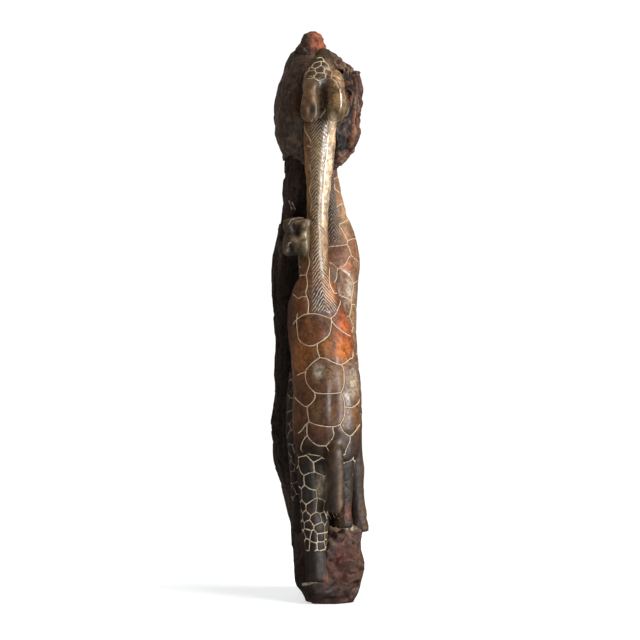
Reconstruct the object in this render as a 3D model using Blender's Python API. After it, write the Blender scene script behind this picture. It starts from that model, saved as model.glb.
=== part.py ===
"""Carved stone statue: two grown giraffes and a calf round one tree, on a rock base.

The tables below are in millimetres: X runs to the right, Y runs away from the rump of the
front giraffe, and Z runs up from the face that the statue stands on. MM turns them into
metres. A station is (x, y, z, half width, half depth), and a shape is lofted through its
stations.
"""

import math

import bmesh
import bpy
from mathutils import Matrix, Vector, noise

MM = 0.001
GAP = 0.3  # clearance between two carved features that touch

# Driving dimensions
GROUND = 54.0  # height of the rock under most of the feet
LEDGE = 18.0  # height of the low ledge under the front giraffe's left hind foot
RINGS_PER_SPAN = 1  # rings lofted between one station and the next
CHIP_SHARE = 0.2  # a loose chip smaller than this share of a solid is knocked off

# A grown giraffe's own shape, with its feet near z 0 and its spine on x 0
TORSO = (
    (0, -27, 100, 20, 15),
    (0, -29, 116, 24, 20),
    (0, -27, 137, 26.5, 24),
    (0, -19, 164, 26, 27.5),
    (0, -9, 192, 25.3, 28),
    (0, -2, 216, 24.8, 24),
    (0, 1, 235, 21, 18.5),
    (0, 1, 251, 15, 13.5),
)
NECK = (
    (0, 1, 239, 15, 13),
    (0, 1, 256, 12.8, 12),
    (0, 0.5, 272, 9.6, 11),
    (0, 0, 289, 8.1, 10.5),
    (0, -0.5, 307, 8.1, 10),
    (0, -1, 325, 9, 10.3),
    (0, -1.5, 343, 10.8, 11),
    (0, -2, 361, 12.8, 12),
    (0, -2, 377, 14, 12.8),
)
TAIL = (
    (0, -42, 131, 5.5, 5),
    (0, -49, 119, 7.4, 5.5),
    (0, -49, 102, 7.4, 5.5),
    (0, -47, 88, 7, 5.2),
    (0, -46, 79, 7.6, 5.5),
    (0, -46, 74, 5.2, 4.5),
)
# The head hangs on the poll, where the neck ends: z runs from there to the muzzle
HEAD = (
    (0, 1, -10, 12.5, 11),
    (0, 0, 0, 14.6, 13.5),
    (0, -1, 11, 16, 15),
    (0, -1, 22, 16, 14.5),
    (0, 2, 32, 13.4, 12.5),
    (0, 5, 41, 9.4, 10),
    (0, 8, 48, 6.4, 7.5),
)
OSSICONE = (
    (6.5, -6, 25, 5.5, 5),
    (8, -14, 22, 7.6, 6.4),
    (9.4, -19, 13, 8.6, 6.8),
    (9.8, -21, 2, 9, 7),
    (9.8, -21, -5, 7.4, 6),
)
EAR = (
    (12, 2, 19, 3.5, 2.6),
    (17, -2, 18, 5.6, 3.2),
    (20.5, -5, 10, 6.8, 3.2),
    (21.5, -7, 2, 5.6, 2.8),
    (20.5, -8, -3, 3.5, 2),
)


def aimed(muzzle, horns):
    """Turn of a head whose muzzle and horned side face the two given ways."""
    ahead = Vector(muzzle).normalized()
    side = ahead.cross(Vector(horns)).normalized()
    front = ahead.cross(side)
    return Matrix((side, front, ahead)).transposed().to_4x4()


def between(curve, height):
    """Smooth value at a height of a curve given as (height, value) pairs."""
    if height <= curve[0][0]:
        return curve[0][1]
    for (low, first), (high, second) in zip(curve, curve[1:]):
        if height <= high:
            share = (height - low) / (high - low)
            share = share * share * (3 - 2 * share)
            return first + (second - first) * share
    return curve[-1][1]


def smooth_stations(stations, steps):
    """Catmull-Rom points through the stations, with steps points for each span."""
    found = []
    last = len(stations) - 1
    for span in range(last):
        a, b, c, d = (
            stations[min(max(span + shift, 0), last)] for shift in (-1, 0, 1, 2)
        )
        for step in range(steps):
            t = step / steps
            found.append(
                tuple(
                    0.5
                    * (
                        2 * q
                        + (r - p) * t
                        + (2 * p - 5 * q + 4 * r - s) * t * t
                        + (3 * q - p - 3 * r + s) * t * t * t
                    )
                    for p, q, r, s in zip(a, b, c, d)
                )
            )
    found.append(tuple(stations[-1]))
    return found


def ring_frames(rings, level):
    """Centre and axes of each ring, level or square to the line through the centres."""
    centres = [Vector(ring[:3]) for ring in rings]
    frames = []
    for index, centre in enumerate(centres):
        ahead = centres[min(index + 1, len(centres) - 1)]
        behind = centres[max(index - 1, 0)]
        along = Vector((0, 0, 1)) if level else (ahead - behind).normalized()
        side = (Vector((1, 0, 0)) - along * along.x).normalized()
        frames.append((centre, side, along.cross(side), along))
    return frames


def with_domes(rings, frames, domes, grow):
    """The grown rings, with a rounded end wherever a dome height is given."""
    shaped = [
        (frame, ring[3] + grow, ring[4] + grow, 0.0) for frame, ring in zip(frames, rings)
    ]
    for end, (dome, sign) in enumerate(zip(domes, (-1, 1))):
        frame, wide, deep, _ = shaped[-end]
        if not dome:
            shaped[-end] = (frame, wide, deep, sign * grow)
            continue
        dome += grow
        caps = []
        for angle in (math.radians(40), math.radians(70)):
            caps.append(
                (
                    frame,
                    wide * math.cos(angle),
                    deep * math.cos(angle),
                    sign * dome * math.sin(angle),
                )
            )
        caps.append((frame, 0.0, 0.0, sign * dome))
        shaped = shaped + caps if end else caps[::-1] + shaped
    return shaped


def loft(
    stations, sides, domes=(0, 0), power=2.0, grow=0.0, matrix=None, rough=None, level=False
):
    """Closed bmesh lofted through the stations, in metres."""
    rings = smooth_stations(stations, RINGS_PER_SPAN)
    shaped = with_domes(rings, ring_frames(rings, level), domes, grow)
    matrix = matrix or Matrix.Identity(4)
    bm = bmesh.new()
    loops = []
    for (centre, side, front, along), wide, deep, lift in shaped:
        middle = centre + along * lift
        if wide == 0.0:
            loops.append([bm.verts.new(matrix @ middle * MM)])
            continue
        loop = []
        for index in range(sides):
            angle = math.tau * index / sides
            cosine, sine = math.cos(angle), math.sin(angle)
            reach_x = math.copysign(abs(cosine) ** (2 / power), cosine) * wide
            reach_y = math.copysign(abs(sine) ** (2 / power), sine) * deep
            point = middle + side * reach_x + front * reach_y
            if rough:
                point = middle + (point - middle) * (1 + rough(point))
            loop.append(bm.verts.new(matrix @ point * MM))
        loops.append(loop)
    for low, high in zip(loops, loops[1:]):
        join_loops(bm, low, high, sides)
    for loop in (loops[0], loops[-1]):
        if len(loop) > 1:
            bm.faces.new(loop)
    bmesh.ops.triangulate(bm, faces=bm.faces, quad_method="FIXED")
    bmesh.ops.recalc_face_normals(bm, faces=bm.faces)
    return bm


def join_loops(bm, low, high, sides):
    """Faces between two rings, or between a ring and the point of a dome."""
    for index in range(sides):
        after = (index + 1) % sides
        if len(low) == 1:
            bm.faces.new((low[0], high[after], high[index]))
        elif len(high) == 1:
            bm.faces.new((low[index], low[after], high[0]))
        else:
            bm.faces.new((low[index], low[after], high[after], high[index]))


def lumps(size, depth, seed):
    """Lumpy stone: the share by which a point moves in or out."""

    def share(point):
        return depth * noise.noise(point / size + Vector((seed, seed, seed)))

    return share


def stone(name, colour, roughness):
    """Material of one kind of polished or raw stone."""
    found = bpy.data.materials.get(name)
    if found:
        return found
    made = bpy.data.materials.new(name)
    made.use_nodes = True
    shader = made.node_tree.nodes["Principled BSDF"]
    shader.inputs["Base Color"].default_value = (*colour, 1)
    shader.inputs["Roughness"].default_value = roughness
    shader.inputs["Metallic"].default_value = 0.0
    return made


POLISHED = ("polished_stone", (0.23, 0.105, 0.035), 0.25)
HORN = ("horn_stone", (0.27, 0.17, 0.06), 0.28)
CALF = ("calf_stone", (0.30, 0.22, 0.11), 0.3)
BARK = ("bark_stone", (0.02, 0.014, 0.012), 0.45)
CROWN = ("crown_stone", (0.07, 0.035, 0.022), 0.6)
KNOB = ("knob_stone", (0.36, 0.10, 0.045), 0.5)
ROCK = ("rock_stone", (0.11, 0.05, 0.04), 0.4)


class Piece:
    """One carved feature: its loft, its finish, and the cutter that makes room for it."""

    def __init__(self, name, finish, **shape):
        self.name = name
        self.shape = shape
        self.solid = self.make(name, 0.0)
        self.solid.data.materials.append(stone(*finish))
        self.cutter = None

    def make(self, name, grow):
        bm = loft(grow=grow, **self.shape)
        mesh = bpy.data.meshes.new(name)
        bm.to_mesh(mesh)
        bm.free()
        made = bpy.data.objects.new(name, mesh)
        bpy.context.scene.collection.objects.link(made)
        return made

    def room(self):
        """The piece with the gap round it, which cuts its neighbours."""
        if self.cutter is None:
            self.cutter = self.make("room_for_" + self.name, GAP)
            self.cutter.hide_render = True
            self.cutter.display_type = "WIRE"
        return self.cutter

    def reach(self, margin=0.0):
        points = [vertex.co for vertex in self.solid.data.vertices]
        low = [min(p[axis] for p in points) - margin for axis in range(3)]
        high = [max(p[axis] for p in points) + margin for axis in range(3)]
        return low, high

    def near(self, other):
        low, high = self.reach(GAP * 2 * MM)
        other_low, other_high = other.reach()
        return all(
            low[axis] < other_high[axis] and high[axis] > other_low[axis]
            for axis in range(3)
        )


def mirrored(stations, side):
    return tuple((side * x, *rest) for x, *rest in stations)


def swayed(stations, sway, nod=((0, 0),)):
    """Stations leaned sideways and forwards, as the figure follows its block."""
    return tuple(
        (x + between(sway, z), y + between(nod, z), z, w, d) for x, y, z, w, d in stations
    )


def giraffe(
    name, place, scale, sway, neck, poll, head_turn, legs, tail_x, ears, sides, nod=((0, 0),)
):
    """The pieces of one giraffe, most buried last, so that each cuts those after it."""
    body = Matrix.Translation(place) @ Matrix.Scale(scale, 4)
    head = body @ Matrix.Translation(poll) @ head_turn
    skin = CALF if name == "calf" else POLISHED
    fine, coarse = sides
    pieces = []
    for side, word in ((-1, "left"), (1, "right")):
        pieces.append(
            Piece(
                f"{name}_ossicone_{word}",
                HORN,
                stations=mirrored(OSSICONE, side),
                sides=coarse,
                domes=(0, 4),
                matrix=head,
            )
        )
        if word not in ears:
            continue
        spread, flare = ears[word]
        ear = tuple((x * spread, y, z, w * flare, d) for x, y, z, w, d in EAR)
        pieces.append(
            Piece(
                f"{name}_ear_{word}",
                HORN,
                stations=mirrored(ear, side),
                sides=coarse,
                domes=(0, 2),
                matrix=head,
            )
        )
    pieces.append(
        Piece(f"{name}_head", skin, stations=HEAD, sides=fine, domes=(0, 5), matrix=head)
    )
    pieces.append(
        Piece(
            f"{name}_tail",
            skin,
            stations=swayed(mirrored(TAIL, 1), [(0, tail_x)]),
            sides=coarse,
            domes=(0, 3),
            matrix=body,
        )
    )
    pieces.append(
        Piece(
            f"{name}_neck", skin, stations=swayed(neck, sway, nod), sides=fine, matrix=body
        )
    )
    for word, stations in legs.items():
        pieces.append(
            Piece(f"{name}_{word}", skin, stations=stations, sides=coarse, matrix=body)
        )
    pieces.append(
        Piece(
            f"{name}_torso",
            skin,
            stations=swayed(TORSO, sway),
            sides=fine + 4,
            domes=(6, 0),
            level=True,
            matrix=body,
        )
    )
    return pieces


def leg(hip, foot, widths, depths):
    """Stations of a leg from the hip to the foot, evenly spaced, with its own girths."""
    start, end = Vector(hip), Vector(foot)
    count = len(widths)
    return tuple(
        (*start.lerp(end, index / (count - 1)), widths[index], depths[index])
        for index in range(count)
    )


def front_giraffe():
    sway = ((102, 8), (157, 8), (198, 5), (232, -1.5), (256, -1.5), (289, 0), (341, 1.5), (377, 2.4))
    legs = {
        "hind_leg_left": leg(
            (-5, -30, 118),
            (0, -37, LEDGE),
            (12.5, 11.2, 10.4, 9.8, 9.2, 9, 9.6),
            (16, 13, 10.5, 9.6, 9.6, 9.2, 10),
        ),
        "hind_leg_right": leg(
            (20, -29, 118), (22, -31, GROUND + 5), (11, 8.4, 6.4, 5.6, 6.4), (16, 12, 9, 8, 8.4)
        ),
        "foreleg_left": leg(
            (1, 0, 176), (3, 7, GROUND - 2), (9, 8, 7, 6.2, 6.2, 7), (13, 11, 9, 7.4, 7.4, 8)
        ),
        "foreleg_right": leg(
            (17, -1, 176), (18, 6, GROUND - 2), (9, 8, 7, 6.2, 6.2, 7), (13, 11, 9, 7.4, 7.4, 8)
        ),
    }
    return giraffe(
        "front_giraffe",
        place=(0, 0, 0),
        scale=1.0,
        sway=sway,
        neck=NECK,
        poll=(4.4, -2, 384),
        head_turn=aimed((0, 0.07, 1), (0, -1, 0)),
        legs=legs,
        tail_x=13.4,
        ears={"left": (1.0, 1.0), "right": (0.86, 0.5)},
        sides=(12, 8),
    )


def rear_giraffe():
    sway = ((100, 7), (115, 5), (137, 0), (164, -1), (192, 1), (218, 4), (248, 5), (308, 1), (337, -4))
    neck = NECK[:5] + (
        (0, 1, 323, 9.2, 10.2),
        (0, 4, 336, 10, 11),
    )
    legs = {
        "hind_leg_left": leg(
            (-3, -30, 114), (-2, -34, 0), (12, 9, 7, 6.4, 6.4, 7), (15, 11, 9, 8, 8, 8.6)
        ),
        "hind_leg_right": leg(
            (18, -30, 116), (28, -34, 0), (11, 9.8, 8, 7, 6.8, 7.4), (16, 12, 9, 8, 8, 8.6)
        ),
        "foreleg_left": leg(
            (-6, -3, 170), (-4, 3, 0), (9, 8.4, 7, 6.4, 6.2, 7), (13, 12, 9.6, 7.8, 7.4, 8.4)
        ),
        "foreleg_right": leg(
            (15, -3, 170), (19, 3, 0), (9, 8.4, 7, 6.4, 6.2, 7), (13, 12, 9.6, 7.8, 7.4, 8.4)
        ),
    }
    return giraffe(
        "rear_giraffe",
        place=(6, 53, GROUND - 2),
        scale=1.0,
        sway=sway,
        neck=neck,
        poll=(-6, 6, 338),
        head_turn=aimed((0.3, -0.12, 0.92), (-0.8, 0.55, 0.25)),
        legs=legs,
        tail_x=6,
        ears={"left": (1.0, 1.0)},
        sides=(12, 8),
    )


def calf_giraffe():
    neck = NECK[:6] + ((0, -1, 350, 10.8, 11), (0, -1, 380, 12.4, 12), (0, -1, 414, 13, 12.8))
    legs = {
        "hind_leg_left": leg(
            (-13, -30, 118), (-11, -30, 0), (11, 9, 7, 7, 8), (15, 12, 9, 9, 10)
        ),
        "hind_leg_right": leg(
            (12, -30, 118), (11, -30, 0), (11, 9, 7, 7, 8), (15, 12, 9, 9, 10)
        ),
        "foreleg_left": leg(
            (-11, 0, 170), (-10, 8, 0), (9, 8, 6.8, 6.6, 8), (12, 11, 8, 8, 9.6)
        ),
        "foreleg_right": leg(
            (10, 0, 170), (10, 8, 0), (9, 8, 6.8, 6.6, 8), (12, 11, 8, 8, 9.6)
        ),
    }
    return giraffe(
        "calf",
        place=(-9.5, 19, GROUND - 1),
        scale=0.575,
        sway=((110, 0), (414, 3)),
        nod=((225, 0), (350, -18), (414, -31)),
        neck=neck,
        poll=(2, -35, 427),
        head_turn=aimed((-0.65, -0.12, -0.75), (-0.75, -0.25, 0.65)),
        legs=legs,
        tail_x=0,
        ears={"left": (1.0, 1.0), "right": (1.0, 1.0)},
        sides=(10, 6),
    )


def tree_and_rock():
    trunk = (
        (-9, 38, 38, 12, 24),
        (-10, 36, 58, 12, 24),
        (-15, 34, 84, 13.5, 23),
        (-20, 34, 107, 15, 22),
        (-22, 34, 131, 16, 22),
        (-20, 33, 162, 14, 21),
        (-20, 32, 198, 14.5, 20),
        (-19.5, 31, 236, 17, 20),
        (-18.5, 30, 272, 16.5, 20),
        (-15.5, 29, 304, 13.5, 20),
        (-12.5, 28, 336, 14.5, 22),
        (-8, 27, 364, 18, 25),
    )
    crown = (
        (-3.5, 27, 338, 15, 18),
        (-1.5, 27, 346, 23, 27),
        (1, 27, 357, 29, 33),
        (0.5, 27, 370, 34, 37),
        (0.5, 27, 385, 37, 38),
        (1.5, 27, 398, 36, 38),
        (3, 27, 410, 34, 36),
        (4, 27, 420, 31, 31),
        (0, 25, 428, 24.5, 25),
        (-3.5, 22, 435, 17, 18),
    )
    knob = (
        (-6, 14, 428, 10, 10),
        (-5, 13, 437, 12.4, 12),
        (-4, 13, 443.5, 9.6, 10),
    )
    rock = (
        (10, 15, 0, 22.5, 54),
        (9.5, 15, 6, 26, 59),
        (9.5, 16, 13, 28, 60),
        (9.5, 18, 22, 29, 59),
        (9.5, 19, 32, 29.5, 58),
        (8.5, 20, 44, 28.5, 57),
        (9, 21, 53, 26.5, 53),
        (10, 22, 57, 22, 48),
    )
    return [
        Piece(
            "crown_knob",
            KNOB,
            stations=knob,
            sides=12,
            domes=(0, 8),
            level=True,
            rough=lumps(14, 0.12, 3),
        ),
        Piece(
            "tree_trunk",
            BARK,
            stations=trunk,
            sides=14,
            power=2.4,
            level=True,
            rough=lumps(26, 0.1, 8),
        ),
        Piece(
            "tree_crown",
            CROWN,
            stations=crown,
            sides=22,
            domes=(0, 5),
            power=2.3,
            level=True,
            rough=lumps(18, 0.12, 1),
        ),
        Piece(
            "base_rock",
            ROCK,
            stations=rock,
            sides=22,
            power=2.8,
            level=True,
            rough=lumps(24, 0.1, 5),
        ),
    ]


def cut(host, guests):
    """Cuts room for the guests out of the host, and knocks off the chips that come loose."""
    if not guests:
        return
    for guest in guests:
        modifier = host.solid.modifiers.new("room_for_" + guest.name, "BOOLEAN")
        modifier.operation = "DIFFERENCE"
        modifier.object = guest.room()
    graph = bpy.context.evaluated_depsgraph_get()
    carved = bpy.data.meshes.new_from_object(host.solid.evaluated_get(graph))
    host.solid.modifiers.clear()
    host.solid.data = carved
    drop_chips(carved)


def drop_chips(mesh):
    """Deletes the loose parts of a mesh that are small beside its largest one."""
    bm = bmesh.new()
    bm.from_mesh(mesh)
    unseen = set(bm.faces)
    shells = []
    while unseen:
        front = [unseen.pop()]
        shell = set(front)
        while front:
            face = front.pop()
            for edge in face.edges:
                for neighbour in edge.link_faces:
                    if neighbour in unseen:
                        unseen.discard(neighbour)
                        shell.add(neighbour)
                        front.append(neighbour)
        shells.append(shell)
    areas = [sum(face.calc_area() for face in shell) for shell in shells]
    chips = [
        face
        for shell, area in zip(shells, areas)
        if area < CHIP_SHARE * max(areas)
        for face in shell
    ]
    bmesh.ops.delete(bm, geom=chips, context="FACES")
    bm.to_mesh(mesh)
    bm.free()


def clear_scene():
    for obj in list(bpy.data.objects):
        bpy.data.objects.remove(obj)


def stand_on_origin(pieces):
    """Moves every solid so that the middle of the statue's foot print box is the origin."""
    lows, highs = zip(*(piece.reach() for piece in pieces))
    low = [min(corner[axis] for corner in lows) for axis in range(3)]
    high = [max(corner[axis] for corner in highs) for axis in range(3)]
    shift = Matrix.Translation(
        (-(low[0] + high[0]) / 2, -(low[1] + high[1]) / 2, -low[2])
    )
    for piece in pieces:
        piece.solid.data.transform(shift)


def main():
    clear_scene()
    pieces = front_giraffe() + rear_giraffe() + calf_giraffe() + tree_and_rock()
    for index, host in enumerate(pieces):
        guests = [guest for guest in pieces[:index] if guest.near(host)]
        cut(host, guests)
    stand_on_origin(pieces)
    for piece in pieces:
        piece.solid.data.shade_smooth()
        piece.solid.data.set_sharp_from_angle(angle=math.radians(50))


main()
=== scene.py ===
"""The looks of a carved and polished stone group: two giraffes and a calf at a rough tree.

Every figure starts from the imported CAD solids: they are merged into one skin of even grain,
smoothed like waxed stone, sculpted, engraved and coloured. All lengths below are millimetres
in the frame of the CAD model, and only the finished mesh is turned into metres.
"""

import math

import bmesh
import bpy
import numpy as np
from mathutils import Matrix, Vector


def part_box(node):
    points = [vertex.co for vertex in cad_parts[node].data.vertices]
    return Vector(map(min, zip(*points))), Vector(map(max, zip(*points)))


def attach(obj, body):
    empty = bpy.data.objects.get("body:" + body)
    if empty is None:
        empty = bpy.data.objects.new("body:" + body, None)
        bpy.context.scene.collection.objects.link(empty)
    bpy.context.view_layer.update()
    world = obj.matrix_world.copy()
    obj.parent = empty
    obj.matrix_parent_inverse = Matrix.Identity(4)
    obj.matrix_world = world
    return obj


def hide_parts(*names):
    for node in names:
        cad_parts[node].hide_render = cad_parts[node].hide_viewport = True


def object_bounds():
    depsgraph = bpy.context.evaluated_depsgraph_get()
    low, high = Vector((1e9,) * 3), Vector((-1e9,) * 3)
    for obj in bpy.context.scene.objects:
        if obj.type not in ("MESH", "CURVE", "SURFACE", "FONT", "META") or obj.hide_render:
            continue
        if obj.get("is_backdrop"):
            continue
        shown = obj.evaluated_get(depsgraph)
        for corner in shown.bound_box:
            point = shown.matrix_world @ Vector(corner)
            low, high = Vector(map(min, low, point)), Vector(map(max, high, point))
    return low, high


MM = 0.001

# The camera: where it stands, and how much it takes in at the figures.
VIEW_SIDE = 0.4
VIEW_HEIGHT = 221.0
VIEW_DISTANCE = 2000.0
VIEW_WIDTH = 512.0
SENSOR = 36.0

# The skins: how far solids swell before they merge, and the grain of the merged mesh.
GROW = 0.45
GRAIN = 1.4

# The scratched lines: their cut, the band of finer mesh around them, and the swell of a cell.
LINE_DEPTH = 0.4
LINE_WIDTH = 0.42
LINE_BAND = 1.35
PILLOW = 0.35
PALE = (0.6, 0.49, 0.34)

# The fishbone strokes of a mane: the height from one to the next, and their slant.
MANE_PITCH = 3.1
MANE_SLOPE = 1.35

# The lights: power, and angles in degrees.
AMBIENT = 0.1
BACKDROP = 1.05
KEY_POWER = 5.0
KEY_SPREAD = 42.0
KEY_HEIGHT = 42.0
KEY_SIDE = 58.0
FILL_POWER = 3.0
FILL_SPREAD = 70.0
FILL_HEIGHT = 35.0
FILL_SIDE = 215.0
BOX_POWER = 115.0
BOX_SIDE = 50.0
BOX_DISTANCE = 2.2
FLOOR_HALF = 0.8

# A distance that stands for out of reach.
FAR = 1000.0

LEGS = ("hind_leg_left", "hind_leg_right", "foreleg_left", "foreleg_right")
LIMBS = ("torso", "neck", "head", "tail", *LEGS)
HORNS = ("ossicone_left", "ossicone_right", "ear_left", "ear_right")

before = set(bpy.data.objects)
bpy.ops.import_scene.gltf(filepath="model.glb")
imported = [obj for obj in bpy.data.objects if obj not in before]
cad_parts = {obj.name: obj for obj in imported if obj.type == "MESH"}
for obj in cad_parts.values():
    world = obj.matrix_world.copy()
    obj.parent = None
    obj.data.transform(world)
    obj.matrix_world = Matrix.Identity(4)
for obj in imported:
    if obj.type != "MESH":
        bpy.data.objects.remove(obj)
CAD_LOW, CAD_HIGH = (np.array(corner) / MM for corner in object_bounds())


# ---------------------------------------------------------------- noise


def hashed(cells, seed):
    """A repeatable number from 0 to 1 for each cell of an integer lattice."""
    mixed = cells.astype(np.uint64) * np.array((73856093, 19349663, 83492791), np.uint64)
    value = np.bitwise_xor.reduce(mixed, axis=-1) + np.uint64(seed * 7919 + 17)
    for factor in (2246822519, 3266489917):
        value = (value ^ (value >> np.uint64(15))) * np.uint64(factor)
        value = value & np.uint64(0xFFFFFFFF)
    return (value ^ (value >> np.uint64(13))).astype(float) / 0xFFFFFFFF


def noise(points, size, seed):
    """Smooth noise from -1 to 1 whose lumps measure about the given size."""
    scaled = points / np.asarray(size, float)
    base = np.floor(scaled)
    share = scaled - base
    share = share * share * (3 - 2 * share)
    base = base.astype(np.int64)
    total = np.zeros(len(points))
    for corner in np.ndindex(2, 2, 2):
        weight = np.prod(np.where(corner, share, 1 - share), axis=1)
        total += weight * hashed(base + np.array(corner), seed)
    return total * 2 - 1


def fractal(points, size, seed, octaves=3):
    """Noise with finer and fainter noise laid over it."""
    total = sum(
        noise(points, np.asarray(size, float) / 2**step, seed + step) / 2**step
        for step in range(octaves)
    )
    return total / (2 - 2 ** (1 - octaves))


def eased(value, low, high):
    """0 below low, 1 above high and a smooth rise between them; low may be the larger."""
    share = np.clip((value - low) / (high - low), 0, 1)
    return share * share * (3 - 2 * share)


# ---------------------------------------------------------------- skins


class Skin:
    """A closed triangle mesh in millimetres with values at its points.

    The values that a material reads are tint, the ground colour with any painted highlights and painted
    shade; line, the scratches; gloss; and mane, mane_across and mane_along, where a fishbone mane is and
    how it runs.
    """

    def __init__(self, points, faces):
        self.points = points
        self.faces = faces
        self.values = {}

    def edges(self):
        pairs = np.concatenate([self.faces[:, (0, 1)], self.faces[:, (1, 2)], self.faces[:, (2, 0)]])
        pairs.sort(axis=1)
        return np.unique(pairs, axis=0)

    def normals(self):
        a, b, c = (self.points[self.faces[:, corner]] for corner in range(3))
        flat = np.cross(b - a, c - a)
        total = np.zeros_like(self.points)
        for corner in range(3):
            for axis in range(3):
                total[:, axis] += np.bincount(
                    self.faces[:, corner], flat[:, axis], len(self.points)
                )
        return total / np.maximum(np.linalg.norm(total, axis=1, keepdims=True), 1e-12)

    def averaged(self, values, edges):
        """The mean over the neighbours of each point."""
        one, other = edges.T
        count = len(self.points)
        degree = np.bincount(one, minlength=count) + np.bincount(other, minlength=count)
        columns = values.reshape(count, -1)
        found = np.empty_like(columns, dtype=float)
        for axis in range(columns.shape[1]):
            found[:, axis] = np.bincount(one, columns[other, axis], count)
            found[:, axis] += np.bincount(other, columns[one, axis], count)
        return (found / np.maximum(degree, 1)[:, None]).reshape(values.shape)

    def polish(self, rounds, shrink=0.55, swell=-0.57):
        """Taubin smoothing: takes off facets and steps and keeps the volume."""
        edges = self.edges()
        for _ in range(rounds):
            for factor in (shrink, swell):
                change = self.averaged(self.points, edges) - self.points
                self.points = self.points + change * factor

    def soften(self, values, rounds):
        """Values spread over the neighbours."""
        edges = self.edges()
        for _ in range(rounds):
            values = (values + self.averaged(values, edges)) / 2
        return values

    def push(self, amount):
        self.points = self.points + self.normals() * np.asarray(amount)[:, None]

    def near(self, centre, radius):
        """1 at a centre, falling softly towards 0 beyond the radius."""
        gap = (self.points - np.array(centre)) / np.asarray(radius, float)
        return np.exp(-(gap**2).sum(1))

    def bump(self, *spots):
        """Raises or lowers round spots, each with its centre, radius and height."""
        for centre, radius, height in spots:
            self.push(height * self.near(centre, radius))

    def keep_large(self, share=0.05):
        """Drops shells that are small beside the largest one."""
        label = np.arange(len(self.points))
        one, other = self.edges().T
        while True:
            low = np.minimum(label[one], label[other])
            after = label.copy()
            np.minimum.at(after, one, low)
            np.minimum.at(after, other, low)
            after = after[after]
            if (after == label).all():
                break
            label = after
        sizes = np.bincount(label, minlength=len(label))
        kept = sizes[label] > share * sizes.max()
        index = np.cumsum(kept) - 1
        self.faces = index[self.faces[kept[self.faces[:, 0]]]]
        self.points = self.points[kept]

    def refine(self, chosen):
        """Splits each edge between two chosen points, along a curve that fits the normals."""
        edges = self.edges()
        split = edges[chosen[edges].all(axis=1)]
        if len(split) == 0:
            return
        count = len(self.points)
        normals = self.normals()
        a, b = self.points[split[:, 0]], self.points[split[:, 1]]
        along = b - a
        bend = [
            along - (along * normals[split[:, end]]).sum(1, keepdims=True) * normals[split[:, end]]
            for end in (0, 1)
        ]
        middles = (a + b) / 2 + (bend[0] - bend[1]) / 8
        keys = split[:, 0] * count + split[:, 1]

        def middle(first, second):
            low, high = np.minimum(first, second), np.maximum(first, second)
            key = low * count + high
            place = np.clip(np.searchsorted(keys, key), 0, len(keys) - 1)
            return np.where(keys[place] == key, count + place, -1)

        corners = self.faces.T
        mids = np.stack([middle(corners[k], corners[(k + 1) % 3]) for k in range(3)])
        marked = (mids >= 0).sum(0)
        found = [self.faces[marked == 0]]
        (a, b, c), (ab, bc, ca) = corners[:, marked == 3], mids[:, marked == 3]
        found += [np.stack(t, 1) for t in ((a, ab, ca), (ab, b, bc), (ca, bc, c), (ab, bc, ca))]
        for turn in range(3):
            rolled, between = np.roll(corners, -turn, 0), np.roll(mids, -turn, 0)
            pick = (marked == 1) & (between[0] >= 0)
            (a, b, c), ab = rolled[:, pick], between[0, pick]
            found += [np.stack((a, ab, c), 1), np.stack((ab, b, c), 1)]
            pick = (marked == 2) & (between[2] < 0)
            (a, b, c), (ab, bc) = rolled[:, pick], between[:2, pick]
            found += [np.stack(t, 1) for t in ((ab, b, bc), (a, ab, bc), (a, bc, c))]
        self.faces = np.concatenate(found)
        self.points = np.concatenate([self.points, middles])
        for name, values in self.values.items():
            halves = (values[split[:, 0]] + values[split[:, 1]]) / 2
            self.values[name] = np.concatenate([values, halves])

    def paint(self, *spots):
        """Blends colours into the tint, each with its centre, radius and strength."""
        for colour, centre, radius, strength in spots:
            self.wash(colour, strength * self.near(centre, radius))

    def wash(self, colour, weight):
        """Blends a colour into the tint by a weight at each point."""
        weight = np.clip(weight, 0, 1)[:, None]
        self.values["tint"] = self.values["tint"] * (1 - weight) + np.array(colour) * weight

    def mark(self, amount):
        """Adds pale scratches, where they are stronger than those that are there."""
        self.values["line"] = np.maximum(self.values["line"], amount)

    def to_object(self, name, material):
        """The finished Blender object, in metres and inside the CAD model's box."""
        points = np.clip(self.points, CAD_LOW, CAD_HIGH) * MM
        mesh = bpy.data.meshes.new(name)
        mesh.from_pydata(points.tolist(), [], self.faces.tolist())
        mesh.update()
        mesh.shade_smooth()
        for key, values in self.values.items():
            if values.ndim == 1:
                mesh.attributes.new(key, "FLOAT", "POINT").data.foreach_set("value", values)
            elif key == "tint":
                rgba = np.concatenate([values, np.ones((len(values), 1))], axis=1)
                layer = mesh.attributes.new(key, "FLOAT_COLOR", "POINT")
                layer.data.foreach_set("color", rgba.ravel())
        mesh.materials.append(material)
        thing = bpy.data.objects.new(name, mesh)
        bpy.context.scene.collection.objects.link(thing)
        return thing


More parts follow.
